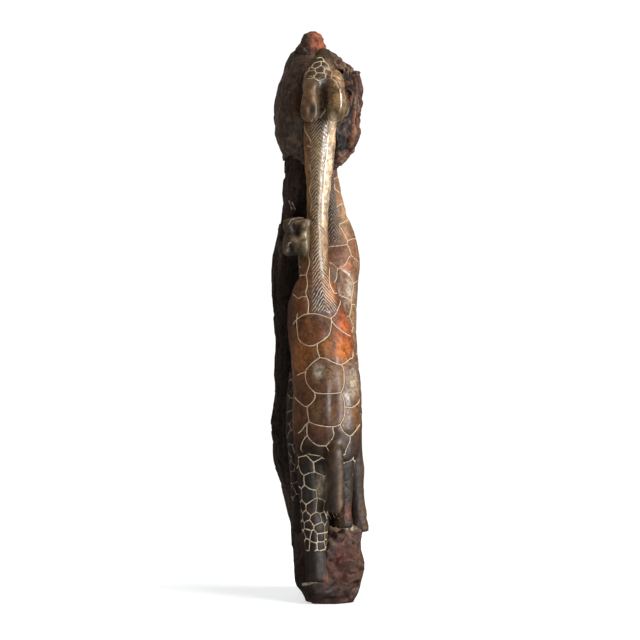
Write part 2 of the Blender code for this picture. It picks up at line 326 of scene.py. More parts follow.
def moulded(nodes, grain, clay):
    """CAD nodes swollen by a hair, so that touching ones merge, as one skin of even grain.

    clay lists centre and radii of round lumps that are added before the merge.
    """
    joined = bmesh.new()
    for centre, radii in clay:
        place = Matrix.Translation(Vector(centre) * MM) @ Matrix.Diagonal((*radii, 1))
        bmesh.ops.create_icosphere(joined, subdivisions=3, radius=MM, matrix=place)
    for node in nodes:
        part = bmesh.new()
        part.from_mesh(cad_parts[node].data)
        bmesh.ops.remove_doubles(part, verts=part.verts, dist=0.002 * MM)
        bmesh.ops.recalc_face_normals(part, faces=part.faces)
        part.normal_update()
        for vert in part.verts:
            vert.co += vert.normal * GROW * MM
        swollen = bpy.data.meshes.new("swollen")
        part.to_mesh(swollen)
        part.free()
        joined.from_mesh(swollen)
        bpy.data.meshes.remove(swollen)
    rough = bpy.data.meshes.new("rough")
    joined.to_mesh(rough)
    joined.free()
    holder = bpy.data.objects.new("holder", rough)
    bpy.context.scene.collection.objects.link(holder)
    remesh = holder.modifiers.new("even_grain", "REMESH")
    remesh.mode = "VOXEL"
    remesh.voxel_size = grain * MM
    graph = bpy.context.evaluated_depsgraph_get()
    even = bpy.data.meshes.new_from_object(holder.evaluated_get(graph))
    even.calc_loop_triangles()
    points = np.empty(len(even.vertices) * 3)
    even.vertices.foreach_get("co", points)
    faces = np.empty(len(even.loop_triangles) * 3, np.int32)
    even.loop_triangles.foreach_get("vertices", faces)
    bpy.data.objects.remove(holder)
    bpy.data.meshes.remove(rough)
    bpy.data.meshes.remove(even)
    skin = Skin(points.reshape(-1, 3) / MM, faces.reshape(-1, 3).astype(np.int64))
    skin.keep_large()
    return skin


def nearness(skin, nodes):
    """For each CAD node, how much a point of the skin belongs to it, softly, from 0 to 1."""
    samples, owner = [], []
    for index, node in enumerate(nodes):
        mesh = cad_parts[node].data
        centres = np.array([tuple(face.center) for face in mesh.polygons]) / MM
        samples.append(centres)
        owner.append(np.full(len(centres), index))
    nearest = closest_two(skin.points, np.concatenate(samples))[0][:, 0]
    mine = np.concatenate(owner)[nearest]
    shares = np.eye(len(nodes))[mine]
    return skin.soften(shares, 6)


# ---------------------------------------------------------------- engraved cells


def closest_two(points, centres, chunk=20000):
    """Index and squared distance of the two centres closest to each point."""
    index = np.empty((len(points), 2), int)
    square = np.empty((len(points), 2))
    size = (centres**2).sum(1)
    for start in range(0, len(points), chunk):
        block = points[start : start + chunk]
        far = (block**2).sum(1)[:, None] + size - 2 * block @ centres.T
        two = np.argpartition(far, 1, axis=1)[:, :2]
        value = np.take_along_axis(far, two, 1)
        order = np.argsort(value, axis=1)
        index[start : start + chunk] = np.take_along_axis(two, order, 1)
        square[start : start + chunk] = np.take_along_axis(value, order, 1)
    return index, square


def scattered(skin, spacing, chosen, seed, rounds=3):
    """Cell centres: the chosen ones, then others at the local spacing, evened out."""
    random = np.random.default_rng(seed)
    centres = np.zeros((4000, 3))
    count = len(chosen)
    centres[:count] = chosen
    for point in random.permutation(len(skin.points)):
        place = skin.points[point]
        gaps = ((centres[:count] - place) ** 2).sum(1)
        if count == 0 or gaps.min() > (0.82 * spacing[point]) ** 2:
            centres[count] = place
            count += 1
    centres = centres[:count]
    for _ in range(rounds):
        mine = closest_two(skin.points, centres)[0][:, 0]
        weight = np.maximum(np.bincount(mine, minlength=count), 1)
        for axis in range(3):
            mean = np.bincount(mine, skin.points[:, axis], count) / weight
            centres[len(chosen) :, axis] = mean[len(chosen) :]
    return centres


def warped(points, amount=1.7, size=9.0):
    """Points shifted by soft noise, which turns straight borders into hand-drawn ones."""
    shift = np.stack([noise(points, size, 40 + axis) for axis in range(3)], axis=1)
    return points + amount * shift


def border(points, centres):
    """Distance from the nearest cell border, the cell, and the way across that border."""
    index, square = closest_two(warped(points), centres)
    across = centres[index[:, 0]] - centres[index[:, 1]]
    apart = np.maximum(np.linalg.norm(across, axis=1), 1e-9)
    distance = (square[:, 1] - square[:, 0]) / (2 * apart)
    return distance, index[:, 0], across / apart[:, None]


def snap(skin, centres, reach=0.3):
    """Moves the points beside a border onto it, so that the engraved line runs clean."""
    distance, _, across = border(skin.points, centres)
    normals = skin.normals()
    flat = across - (across * normals).sum(1, keepdims=True) * normals
    size = (flat**2).sum(1)
    step = distance / np.maximum(size, 0.2)
    near = step < reach
    skin.points[near] -= (flat * step[:, None])[near]


# ---------------------------------------------------------------- materials


class Nodes:
    """Short names for the shader nodes that the stones share."""

    def __init__(self, name):
        self.material = bpy.data.materials.new(name)
        self.material.use_nodes = True
        self.tree = self.material.node_tree
        self.shader = self.tree.nodes["Principled BSDF"]
        self.place = self.new("ShaderNodeTexCoord").outputs["Object"]

    def new(self, kind, **settings):
        node = self.tree.nodes.new(kind)
        for key, value in settings.items():
            setattr(node, key, value)
        return node

    def put(self, socket, value):
        if isinstance(value, bpy.types.NodeSocket):
            self.tree.links.new(value, socket)
        else:
            socket.default_value = value

    def value(self, name):
        return self.new("ShaderNodeAttribute", attribute_name=name).outputs["Fac"]

    def colour(self, name):
        return self.new("ShaderNodeAttribute", attribute_name=name).outputs["Color"]

    def noise(self, size, detail, rough, distort=0.0):
        """Noise whose lumps measure about size millimetres."""
        node = self.new("ShaderNodeTexNoise")
        self.put(node.inputs["Vector"], self.place)
        node.inputs["Scale"].default_value = 1 / (size * MM)
        node.inputs["Detail"].default_value = detail
        node.inputs["Roughness"].default_value = rough
        node.inputs["Distortion"].default_value = distort
        return node.outputs["Fac"]

    def spread(self, value, low, high, first=0.0, last=1.0):
        """Maps low..high to first..last, clamped and eased."""
        node = self.new("ShaderNodeMapRange", interpolation_type="SMOOTHSTEP")
        for socket, number in zip(node.inputs[:5], (value, low, high, first, last)):
            self.put(socket, number)
        return node.outputs["Result"]

    def calc(self, kind, one, other=0.0):
        """One step of arithmetic on two numbers or sockets."""
        node = self.new("ShaderNodeMath", operation=kind)
        self.put(node.inputs[0], one)
        self.put(node.inputs[1], other)
        return node.outputs[0]

    def mix(self, share, one, other, blend="MIX"):
        node = self.new("ShaderNodeMix", data_type="RGBA", blend_type=blend)
        self.put(node.inputs["Factor"], share)
        for socket, colour in ((node.inputs[6], one), (node.inputs[7], other)):
            self.put(socket, (*colour, 1) if isinstance(colour, tuple) else colour)
        return node.outputs[2]

    def grey(self, value):
        node = self.new("ShaderNodeCombineColor")
        for socket in node.inputs[:3]:
            self.put(socket, value)
        return node.outputs[0]

    def finish(self, colour, rough, height, depth, level):
        """The material; depth is the bump's in millimetres and level its reflection."""
        shader = self.shader
        self.put(shader.inputs["Base Color"], colour)
        self.put(shader.inputs["Roughness"], rough)
        shader.inputs["Specular IOR Level"].default_value = level
        bump = self.new("ShaderNodeBump")
        bump.inputs["Distance"].default_value = depth * MM
        self.put(bump.inputs["Height"], height)
        self.put(shader.inputs["Normal"], bump.outputs["Normal"])
        return self.material


def polished_stone(name, honey, dark, mottle=4.0):
    """Waxed serpentine: mottled ground, dark specks, honey veins, and chalky scratched lines.

    honey is how many times brighter than the ground a vein is, in each colour channel.
    """
    n = Nodes(name)
    tone = n.spread(n.noise(mottle, 6, 0.68, 0.8), 0.3, 0.7, 0.42, 1.55)
    ground = n.mix(1.0, n.colour("tint"), n.grey(tone), "MULTIPLY")
    veins = n.spread(n.noise(10.0, 5, 0.6, 2.5), 0.54, 0.66, 0.0, 0.4)
    ground = n.mix(veins, ground, n.mix(1.0, n.colour("tint"), honey, "MULTIPLY"))
    clouds = n.spread(n.noise(14.0, 4, 0.62, 1.2), 0.56, 0.7, 0.0, 0.6)
    ground = n.mix(clouds, ground, dark)
    specks = n.spread(n.noise(1.3, 3, 0.7), 0.57, 0.7, 0.0, 0.5)
    ground = n.mix(specks, ground, dark)
    wear = n.spread(n.noise(1.6, 4, 0.7), 0.28, 0.5, 0.35, 1.0)
    line = n.calc("MULTIPLY", n.spread(n.value("line"), 0.45, 0.85), wear)
    marks = n.calc("MAXIMUM", line, mane_strokes(n))
    colour = n.mix(marks, ground, PALE)
    haze = n.spread(n.noise(2.5, 4, 0.6), 0.35, 0.7, 0.36, 0.52)
    shine = n.spread(n.value("gloss"), -1.0, 1.0, 0.26, -0.26)
    rough = n.calc("ADD", n.calc("ADD", haze, shine), n.calc("MULTIPLY", marks, 0.3))
    ripple = n.calc("ADD", n.noise(3.4, 3, 0.5), n.calc("MULTIPLY", n.noise(11.0, 2, 0.5), 2.2))
    height = n.calc("SUBTRACT", ripple, n.calc("MULTIPLY", marks, 0.7))
    return n.finish(colour, rough, height, 0.12, 0.4)


def mane_strokes(n):
    """Fishbone scratches: slanted strokes that fall away to both sides of the crest."""
    across = n.calc("ABSOLUTE", n.value("mane_across"))
    along = n.value("mane_along")
    wobble = n.calc("MULTIPLY", n.noise(7.0, 3, 0.6), 4.5)
    slanted = n.calc("ADD", n.calc("ADD", along, wobble), n.calc("MULTIPLY", across, MANE_SLOPE))
    phase = n.calc("FRACT", n.calc("DIVIDE", slanted, MANE_PITCH))
    middle = n.calc("ABSOLUTE", n.calc("SUBTRACT", phase, 0.5))
    fade = n.spread(n.noise(2.6, 3, 0.7), 0.35, 0.52, 0.15, 1.0)
    stroke = n.spread(middle, 0.15, 0.06)
    return n.calc("MULTIPLY", n.calc("MULTIPLY", stroke, fade), n.value("mane"))


def raw_stone(name, fleck, fleck_share, rough_low, rough_high, level=0.35):
    """Unpolished or half-polished rock: tinted ground, grit, flecks, pits and pale scratches."""
    n = Nodes(name)
    grain = 1.4
    tone = n.spread(n.noise(4.0, 8, 0.72, 0.8), 0.3, 0.7, 0.35, 1.8)
    ground = n.mix(1.0, n.colour("tint"), n.grey(tone), "MULTIPLY")
    flecks = n.spread(n.noise(grain, 4, 0.75), 0.58, 0.7, 0.0, fleck_share)
    ground = n.mix(flecks, ground, fleck)
    pits = n.spread(n.noise(grain * 1.8, 3, 0.7), 0.4, 0.3, 0.0, 0.85)
    ground = n.mix(pits, ground, (0.004, 0.003, 0.002))
    wear = n.spread(n.noise(1.2, 3, 0.7), 0.35, 0.55, 0.2, 1.0)
    colour = n.mix(n.calc("MULTIPLY", n.value("line"), wear), ground, PALE)
    haze = n.spread(n.noise(3.0, 4, 0.6), 0.35, 0.65, rough_low, rough_high)
    shine = n.spread(n.value("gloss"), 0.0, 1.0, 0.0, -0.3)
    rough = n.calc("ADD", haze, shine)
    height = n.calc("SUBTRACT", n.noise(grain, 6, 0.7), n.calc("MULTIPLY", pits, 0.6))
    return n.finish(colour, rough, height, 0.6, level)


# ---------------------------------------------------------------- figures


class Figure(Skin):
    """One carved animal: its limbs, horns and ears as a single skin."""

    def __init__(self, name, grain=GRAIN, rounds=24, clay=(), scale=1.0):
        self.name = name
        self.scale = scale
        words = LIMBS + HORNS
        self.words = [word for word in words if f"{name}_{word}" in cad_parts]
        self.nodes = [f"{name}_{word}" for word in self.words]
        skin = moulded(self.nodes, grain, clay)
        super().__init__(skin.points, skin.faces)
        self.polish(rounds)
        for word, share in zip(self.words, nearness(self, self.nodes).T):
            self.values[word] = share

    def share(self, *words):
        """How much each point belongs to the named parts, from 0 to 1."""
        return sum(self.values[word] for word in words if word in self.values)

    def legs(self):
        return self.share(*LEGS)

    def spacing(self, neck):
        """Size of the coat's cells on a full-sized animal."""
        return (
            18 * self.share("torso")
            + neck * self.share("neck")
            + 9.5 * self.share("head")
            + 12 * self.legs()
            + 10 * self.share("tail", *HORNS)
        )

    def foot(self, word):
        """Centre and height of the lowest ring of a leg."""
        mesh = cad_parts[f"{self.name}_{word}"].data
        corners = np.array([tuple(vert.co) for vert in mesh.vertices]) / MM
        low = corners[corners[:, 2] < corners[:, 2].min() + 1.5]
        return low.mean(0)

    def shape_legs(self, knee=0.42):
        """Knees, slim shins and flared cloven hooves; a foot at the rock's front has no hoof."""
        for word in LEGS:
            foot = self.foot(word)
            low, high = (np.array(corner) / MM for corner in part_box(f"{self.name}_{word}"))
            up = (self.points[:, 2] - foot[2]) / self.scale
            mine = self.share(word)
            joint = knee * (high[2] - low[2]) / self.scale
            knot = np.exp(-(((up - joint) / 9) ** 2))
            shin = np.exp(-(((up - joint / 2 - 5) / 11) ** 2))
            flare = eased(up, 9, 1)
            band = np.exp(-(((up - 10.5) / 1.4) ** 2))
            aside = (self.points[:, 0] - foot[0]) / (0.9 * self.scale)
            cleft = np.exp(-(aside**2)) * eased(up, 10, 6)
            amount = 0.9 * knot - 0.8 * shin
            if foot[1] > -40:
                amount += 0.8 * flare - 0.5 * band - 0.8 * cleft
            self.push(amount * mine * self.scale)

    def dish_ears(self):
        """Hollows the ears on the side seen from the front and scratches their rims."""
        facing = -self.normals()[:, 1]
        rim = np.zeros(len(self.points))
        for word in self.words:
            if word.startswith("ear"):
                low, high = (np.array(corner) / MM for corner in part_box(f"{self.name}_{word}"))
                off = (self.points - (low + high) / 2) / ((high - low) / 2)
                dish = np.clip(1 - (off[:, (0, 2)] ** 2).sum(1), 0, 1) * (facing > 0)
                self.push(-1.6 * self.scale * dish * self.share(word))
                rim = np.maximum(rim, eased(np.abs(facing - 0.25), 0.35, 0.1) * self.share(word))
        self.mark(0.6 * rim)

    def comb_mane(self, crest, facing, ridge=0.9):
        """A raised strip along the back of a neck, for the fishbone strokes.

        crest lists height, x, y and half width from the bottom up; facing is the way it looks.
        """
        height, x, y, half = np.array(crest, float).T
        z = self.points[:, 2]
        ahead = np.array((*facing, 0.0)) / np.linalg.norm(facing)
        side = np.array((-ahead[1], ahead[0], 0.0))
        middle = np.stack([np.interp(z, height, x), np.interp(z, height, y), z], axis=1)
        away = self.points - middle
        across = away @ side
        width = np.interp(z, height, half)
        inside = eased(np.abs(across) - width, 0.8, -0.6) * (away @ ahead > 0)
        inside *= eased(self.normals() @ ahead, 0.0, 0.35)
        inside *= eased(z, height[0] - 0.5, height[0] + 1)
        inside *= eased(z, height[-1] + 0.5, height[-1] - 1)
        self.values["mane"] = inside
        self.values["mane_across"] = across
        self.values["mane_along"] = z.copy()
        crown = np.clip(1 - (across / np.maximum(width, 0.1)) ** 2, 0, 1)
        self.push(ridge * crown * inside)

    def cut_strokes(self, depth=0.25):
        """Sinks the fishbone strokes into the mesh itself."""
        slanted = self.values["mane_along"] + MANE_SLOPE * np.abs(self.values["mane_across"])
        phase = np.abs((slanted / MANE_PITCH) % 1 - 0.5)
        self.push(-depth * eased(phase, 0.26, 0.06) * self.values["mane"])

    def engrave(self, spacing, chosen, plain, seed):
        """Scratches the coat: refines the mesh at the borders, snaps to them and cuts.

        plain is 1 where no line is drawn.
        """
        centres = scattered(self, spacing, np.array(chosen, float).reshape(-1, 3), seed)
        self.values["plain"] = np.clip(plain, 0, 1)
        distance = border(self.points, centres)[0]
        self.refine((distance < LINE_BAND * self.scale) & (self.values["plain"] < 0.9))
        self.refine(self.values["mane"] > 0.2)
        snap(self, centres)
        distance, self.cell, _ = border(self.points, centres)
        self.shown = 1 - eased(self.values["plain"], 0.35, 0.65)
        self.shown *= eased(noise(self.points, 6, 77), -0.98, -0.75)
        groove = np.exp(-((distance / LINE_WIDTH) ** 2)) * self.shown
        self.push(PILLOW * eased(distance, 0, 5) * self.shown - LINE_DEPTH * groove)
        self.values["line"] = np.clip(1 - distance / (2 * LINE_WIDTH), 0, 1) * self.shown
        self.cut_strokes()

    def to_drawing(self, ends):
        """Distance in the front view from the drawn lines, where the skin takes them."""
        found = np.full(len(self.points), FAR)
        open_skin = self.values["drawn"] > 0.3
        found[open_skin] = stroke_distance(self.points[open_skin], ends)
        return found

    def cut_drawing(self, ends):
        distance = self.to_drawing(ends)
        shown = eased(self.values["drawn"], 0.3, 0.6)
        groove = np.exp(-((distance / LINE_WIDTH) ** 2))
        self.push(shown * (PILLOW * eased(distance, 0, 5) - LINE_DEPTH * groove))
        self.mark(np.clip(1 - distance / (2 * LINE_WIDTH), 0, 1) * shown)

    def colour(self, ground, seed, amount=0.28):
        """The ground tint, with each cell a little lighter, darker or warmer."""
        random = np.random.default_rng(seed)
        count = self.cell.max() + 1
        tone = 1 + amount * random.uniform(-1, 1, count)
        warm = 1 + 0.5 * amount * random.uniform(-1, 1, count)
        tone, warm = (1 + (column[self.cell] - 1) * self.shown for column in (tone, warm))
        self.values["tint"] = np.array(ground) * np.stack([tone * warm, tone, tone / warm], 1)
        self.values["gloss"] = np.zeros(len(self.points))

    def shine(self, *spots):
        """Sets the gloss of round areas, from -1, dull, to 1, wet."""
        for centre, radius, amount in spots:
            near = self.near(centre, radius)
            self.values["gloss"] = self.values["gloss"] * (1 - near) + amount * near

    def carve_face(self, at):
        """Brow, eyes, nostrils, mouth and jaw of a full-sized head; at places its own axes."""
        dark = (0.012, 0.008, 0.006)
        for side in (-1, 1):
            self.bump(
                (at((15 * side, -9, 22)), 6, 1.3),
                (at((15.5 * side, -2, 24)), 2.9, 1.4),
                (at((5 * side, 5, 52)), 1.8, -1.4),
                (at((9 * side, 8, 45)), 3.2, 0.9),
                (at((12.5 * side, 10, 30)), 6, 1.0),
            )
            eye = np.linalg.norm(self.points - at((16 * side, -2, 24)), axis=1)
            lid = np.exp(-(((eye - 4.2) / 0.75) ** 2))
            self.mark(0.6 * lid)
            self.wash(dark, eased(eye, 3.3, 2.6))
            self.shine((at((16 * side, -2, 24)), 3.5, 1.0))
            nostril = np.linalg.norm(self.points - at((5 * side, 5, 53)), axis=1)
            self.wash(dark, eased(nostril, 3.0, 1.4))
        for share in np.linspace(0, 1, 15):
            for side in (-1, 1):
                spot = at((side * (12.5 - 8.5 * share**2), 8.5 + 2.5 * share, 31 + 23 * share))
                self.bump((spot, 1.1, -0.28))
                gap = np.linalg.norm(self.points - spot, axis=1)
                self.wash((0.03, 0.018, 0.012), 0.7 * eased(gap, 1.6, 0.6))

    def place(self, slot, material):
        kept = ("tint", "line", "gloss", "mane", "mane_across", "mane_along")
        self.values = {key: self.values[key] for key in kept}
        stand(self, self.name + "_carving", material, self.nodes)


def stand(skin, name, material, nodes):
    """Puts a finished skin in the scene in place of its CAD nodes."""
    thing = skin.to_object(name, material)
    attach(thing, "root")
    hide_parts(*nodes)


def scratch(skin, strokes, width=0.45):
    """Short pale scratches on the front, each from one x and height to another."""
    ends = np.array(strokes, float)

    def distance():
        return stroke_distance(skin.points, ends) + FAR * (skin.points[:, 1] > -5)

    for band in (2.0, 1.1):
        skin.refine(distance() < band)
    close = np.exp(-((distance() / width) ** 2))
    skin.push(-0.3 * close)
    skin.mark(close)


def stroke_distance(points, ends):
    """Distance in the front view from each point to the nearest stroke."""
    best = np.full(len(points), np.inf)
    flat = points[:, (0, 2)]
    for start, end in ends:
        along = end - start
        share = np.clip((flat - start) @ along / (along @ along), 0, 1)
        gap = np.linalg.norm(flat - start - share[:, None] * along, axis=1)
        best = np.minimum(best, gap)
    return best


def rounded(curves, steps=3):
    """Short straight pieces along each given curve, which runs smoothly through its points."""
    pieces = []
    for curve in curves:
        line = np.array(curve, float)
        line = np.concatenate([2 * line[:1] - line[1:2], line, 2 * line[-1:] - line[-2:-1]])
        share = np.linspace(0, 1, steps, endpoint=False)[:, None]
        path = [
            b
            + 0.5 * (c - a) * share
            + (a - 2.5 * b + 2 * c - 0.5 * d) * share**2
            + 0.5 * (3 * b - a - 3 * c + d) * share**3
            for a, b, c, d in zip(line, line[1:], line[2:], line[3:])
        ]
        path = np.concatenate([*path, line[-2:-1]])
        pieces.append(np.stack([path[:-1], path[1:]], axis=1))
    return np.concatenate(pieces)


def head_frame(muzzle, horns, poll):
    """A function from a head's own axes (side, chin, muzzle) to the row frame."""
    ahead = np.array(muzzle, float) / np.linalg.norm(muzzle)
    side = np.cross(ahead, horns)
    side /= np.linalg.norm(side)
    chin = np.cross(ahead, side)
    turn = np.stack([side, chin, ahead], axis=1)
    return lambda place: turn @ np.array(place, float) + np.array(poll, float)


def on_back(skin, spots):
    """The points of the skin that lie at the given x and z on the side seen from the front."""
    behind = FAR * (skin.normals()[:, 1] > -0.15)
    found = []
    for x, z in spots:
        off = (skin.points[:, 0] - x) ** 2 + (skin.points[:, 2] - z) ** 2 + behind
        found.append(skin.points[off.argmin()])
    return found


# The outlines scratched on the near giraffe's back and neck, as x and height along each.
BACK_LINES = (
    ((-17.5, 226), (-18.2, 219.7), (-17.5, 212), (-16.6, 206.6), (-13.6, 203), (-9, 201), (-4.5, 201.2)),
    ((-4.5, 201.2), (0, 203.6), (5.2, 206.8), (8.2, 210.7), (9.4, 217), (9.4, 222.4)),
    ((9.6, 220.5), (12.3, 217), (17.5, 212.6), (22.6, 209.4), (26.6, 207.4)),
    ((-1.3, 203), (-1.7, 199), (-0.6, 194.5), (0.4, 191.9)),
    ((0.4, 191.9), (5.2, 191), (9.7, 188.7), (13.6, 187.1), (16.8, 186.1)),
    ((16.8, 186.1), (20.7, 188), (23.9, 190.6), (26.3, 192), (26.8, 199), (26.2, 207.4)),
    ((0.4, 191.9), (-5.8, 187.4), (-10.3, 182.2), (-11.2, 177.1), (-9.9, 171.9), (-7.1, 168)),
    ((-7.1, 168), (-3.2, 164.8), (3.2, 163.9), (11, 164.1), (16.8, 164.8)),
    ((16.8, 164.8), (19, 169.3), (19.4, 177.1), (18.8, 183.5), (16.8, 186.1)),
    ((-10.8, 180.5), (-14.2, 179.6), (-17.6, 177.7)),
    ((-3.6, 165), (-3.5, 160.3), (-7.1, 155.7), (-9.4, 153.8), (-9, 147.3), (-8.1, 142.1)),
    ((-8.1, 142.1), (-3.2, 140.2), (3.2, 138.9), (11, 138.5), (16.2, 140.2)),
    ((16.2, 140.2), (19.4, 146), (19.8, 153.8), (18.8, 160.3), (16.8, 164.8)),
    ((-9.4, 153.8), (-12.3, 154.4), (-16.8, 157.7), (-19.6, 160.5)),
    ((-8.1, 142.1), (-11, 139.6), (-13.6, 135.7), (-16.6, 133)),
    ((19.8, 153.8), (25.2, 153.1), (29.7, 155.7), (31.7, 159), (32, 166)),
    ((16.2, 140.2), (18.8, 134.4), (23.9, 131.2), (27.8, 134.4), (31.7, 139.6)),
    ((-9.7, 140), (-9.6, 131.8), (-5.8, 126.6), (-0.6, 123.7), (5.2, 123.8)),
    ((5.2, 123.8), (9.1, 127.9), (11.3, 132.4), (10.4, 137), (11, 138.5)),
    ((5.2, 123.8), (7.8, 118.9), (12.3, 116), (16.8, 115.6), (20, 116.9)),
    ((23.9, 131.2), (23.7, 126.6), (21.3, 121.5), (20, 116.9)),
    ((-9.6, 131.8), (-13.2, 126.6), (-14.6, 120), (-9.5, 117.2), (-1, 115.8), (7, 114.2)),
    ((-10, 284), (-8.7, 278), (-9, 271.8), (-7.7, 266.6), (-9, 261.4), (-10.3, 256.9)),
    ((-10.3, 256.9), (-9.4, 248.5), (-10.7, 243.3), (-9.9, 239.4), (-8.4, 234.3), (-9, 225.9)),
    ((-18, 256), (-13.6, 256.5), (-10.3, 256.9)),
    ((-21, 241.5), (-16.8, 238.1), (-13.6, 239.7), (-9.9, 239.4)),
    ((-21, 217.8), (-18.6, 221), (-13.6, 224.6), (-9, 225.9), (-1.9, 225.9), (4.5, 223.9), (9.1, 222.4)),
    ((9.1, 222.4), (12.3, 225.2), (14.6, 229.5), (16.8, 236), (15.5, 243.3)),
    ((8.4, 264), (8, 256.5), (8.2, 250), (9.8, 245.9), (12.3, 242), (15.5, 243.3)),
    ((16, 243), (19.5, 240), (22, 234)),
    ((-12.9, 375.2), (-11, 368.7), (-7.4, 363.5), (-6.4, 357), (-3.6, 353.2)),
    ((-9.9, 358.4), (-6.4, 357)),
    ((-7.8, 344), (-6.6, 331.2), (-8.1, 323.5), (-6.4, 315), (-7.6, 306)),
    ((9.2, 372), (10.6, 366), (9.6, 358)),
    ((9.4, 330), (7.8, 318), (8.4, 305)),
    ((-6.5, 420.2), (-3.7, 423.6), (1.3, 424.7)),
    ((1.3, 424.7), (1.3, 421.3), (-3.2, 419.1), (-6.5, 420.2)),
    ((1.3, 421.3), (4.3, 419.1), (3.8, 415.2)),
    ((3.8, 415.2), (-2.1, 415.5), (-3.2, 417.5), (-3.2, 419.1)),
    ((-10.9, 414.7), (-9.3, 416.9), (-5.4, 417.2), (-3.2, 417.5)),
    ((-2.1, 415.5), (-3.7, 413.3), (-8.7, 413)),
    ((3.8, 415.2), (5.2, 414.1), (4.3, 410.8), (-0.9, 409.1)),
    ((-0.9, 409.1), (-3.7, 411.4), (-3.7, 413.3)),
    ((5.2, 414.1), (6.8, 414.4), (9.6, 413), (9, 410.8), (5.2, 410.5)),
    ((-9.8, 410.8), (-5.4, 411.4), (-3.7, 412.6)),
    ((4.3, 419.1), (7.9, 418), (10.1, 416.4), (9.6, 413)),
    ((9, 410.8), (13.5, 408), (17.9, 406.4)),
    ((12.4, 408.4), (15.1, 403)),
    ((9.6, 413), (13.5, 412), (16.8, 409.7)),
    ((1.3, 424.7), (4.4, 424.2), (7.2, 421.6), (7.9, 418)),
    ((-8.4, 417), (-8.3, 419.4), (-6.5, 420.2)),
    ((-1.5, 427.6), (1.8, 428), (4.4, 424.2)),
)

# Places where the near giraffe's large patches sit, as x and height.
BACK_PATCHES = (
    (-4.3, 213.2), (19.5, 217.5), (11.8, 200.6), (-12.6, 191.5), (4.8, 178.4),
    (26.0, 172.4), (-14.0, 167.5), (4.6, 152.7), (-18.0, 147.5), (25.2, 148.4),
    (-0.8, 131.6), (14.4, 126.5), (-14.5, 132.0), (25.0, 128.0), (-18.5, 213.0),
    (-11.5, 231.0), (-10.8, 249.0), (14.5, 247.0), (17.5, 234.0), (-11.0, 270.0),
)


def build_front_giraffe(material):
    clay = (
        ((14, -41, 393), (6.2, 6.5, 17)),
        ((12, -33, 406), (7.2, 9, 12)),
        ((-5, -34, 403), (6, 8, 8)),
        ((0.8, -25, 408), (13.5, 12, 22.5)),
        ((10.5, -55, 112), (9, 8, 12)),
        ((-1, -52, 21), (8.4, 8.2, 10)),
    )
    skin = Figure("front_giraffe", clay=clay)
    skin.bump(
        ((-14, -52, 148), (14, 16, 22), 1.2),
        ((22, -50, 150), (12, 16, 24), 1.4),
        ((4, -62, 178), (10, 14, 10), 1.3),
        ((25, -42, 172), (8, 14, 14), 1.2),
        ((9, -66, 157), (2.5, 14, 12), -1.0),
        ((-4, -60, 152), (7, 14, 10), 0.6),
        ((2.0, -44, 400), (3.8, 9, 8), -3.6),
        ((2.6, -44, 388), (2.8, 9, 12), -3.2),
        ((-7.5, -47, 385), (4, 7, 6), -3.0),
        ((-16, -44, 398), (3.6, 9, 12), -3.4),
        ((-14.5, -42, 405), (4.5, 12, 8), -3.2),
        ((-13, -46, 388), (2.0, 8, 12), -0.8),
        ((-5, -48, 402), (2.5, 8, 5), -1.0),
        ((-10, -48, 374), (5, 8, 5), -1.6),
        ((0.5, -48, 375), (3, 8, 5), -1.6),
        ((13, -62, 122), (8, 10, 9), -1.6),
        ((7, -62, 95), (3.5, 9, 26), -1.2),
        ((14.5, -60, 84), (2.5, 9, 24), 0.7),
        ((13, -46, 400), (5, 8, 8), 0.8),
        ((20, -44, 392), (2.5, 8, 10), 0.6),
        ((6.5, -50, 40), (1.8, 8, 22), 1.0),
        ((-7, -50, 34), (3, 8, 18), -0.7),
    )
    skin.points[:, 2] += 3.5 * skin.share("ear_left")
    skin.shape_legs()
    low_hind = skin.share("hind_leg_left", "hind_leg_right") * eased(skin.points[:, 2], 82, 68)
    spacing = skin.spacing(16) * (1 - low_hind) + 6.8 * low_hind
    z = skin.points[:, 2]
    plain = skin.share("tail", *HORNS) + eased(z, 43, 40) * skin.legs()
    plain = np.maximum(plain, skin.share("foreleg_left", "foreleg_right") * eased(z, 100, 80))
    skin.comb_mane(
        (
            (227, 4.5, -14, 9.5),
            (235, 3.5, -14, 8.5),
            (250, 1.2, -14, 6.2),
            (272, -0.8, -14, 4.8),
            (300, -2.0, -14, 4.2),
            (335, -2.2, -14, 4.6),
            (358, -0.4, -14, 6.0),
            (379, 1.3, -14, 8.0),
        ),
        (0, -1),
    )
    plain = np.maximum(plain, skin.values["mane"] * 1.5)
    skin.values["plain"] = plain
    skin.values["spacing"] = spacing
    drawn = eased(skin.normals()[:, 1], -0.12, -0.3) * skin.share("torso", "neck")
    drawn *= eased(z, 113, 118) * (skin.points[:, 1] < -8)
    drawn += eased(skin.normals()[:, 1], -0.05, -0.2) * eased(z, 401.5, 403)
    drawn = np.minimum(drawn, 1)
    skin.values["drawn"] = drawn * (1 - skin.values["mane"])
    back_lines = rounded(BACK_LINES)
    for band in (1.9, 0.95):
        skin.refine(skin.to_drawing(back_lines) < band)
    plain = np.maximum(skin.values["plain"], 1.6 * skin.values["drawn"])
    skin.engrave(skin.values["spacing"], on_back(skin, BACK_PATCHES), plain, 7)
    skin.cut_drawing(back_lines)
    skin.dish_ears()
    skin.colour((0.095, 0.033, 0.010), 3, 0.2)
    paint_front(skin)
    skin.carve_face(head_frame((0, 0.07, 1), (0, -1, 0), (1.9, -20, 384)))
    nicks = ((6, 69), (9, 63)), ((9, 70), (12, 64)), ((4, 72), (6, 66)), ((11, 69), (15, 66))
    scratch(skin, nicks)
    skin.place("polished_stone", material)


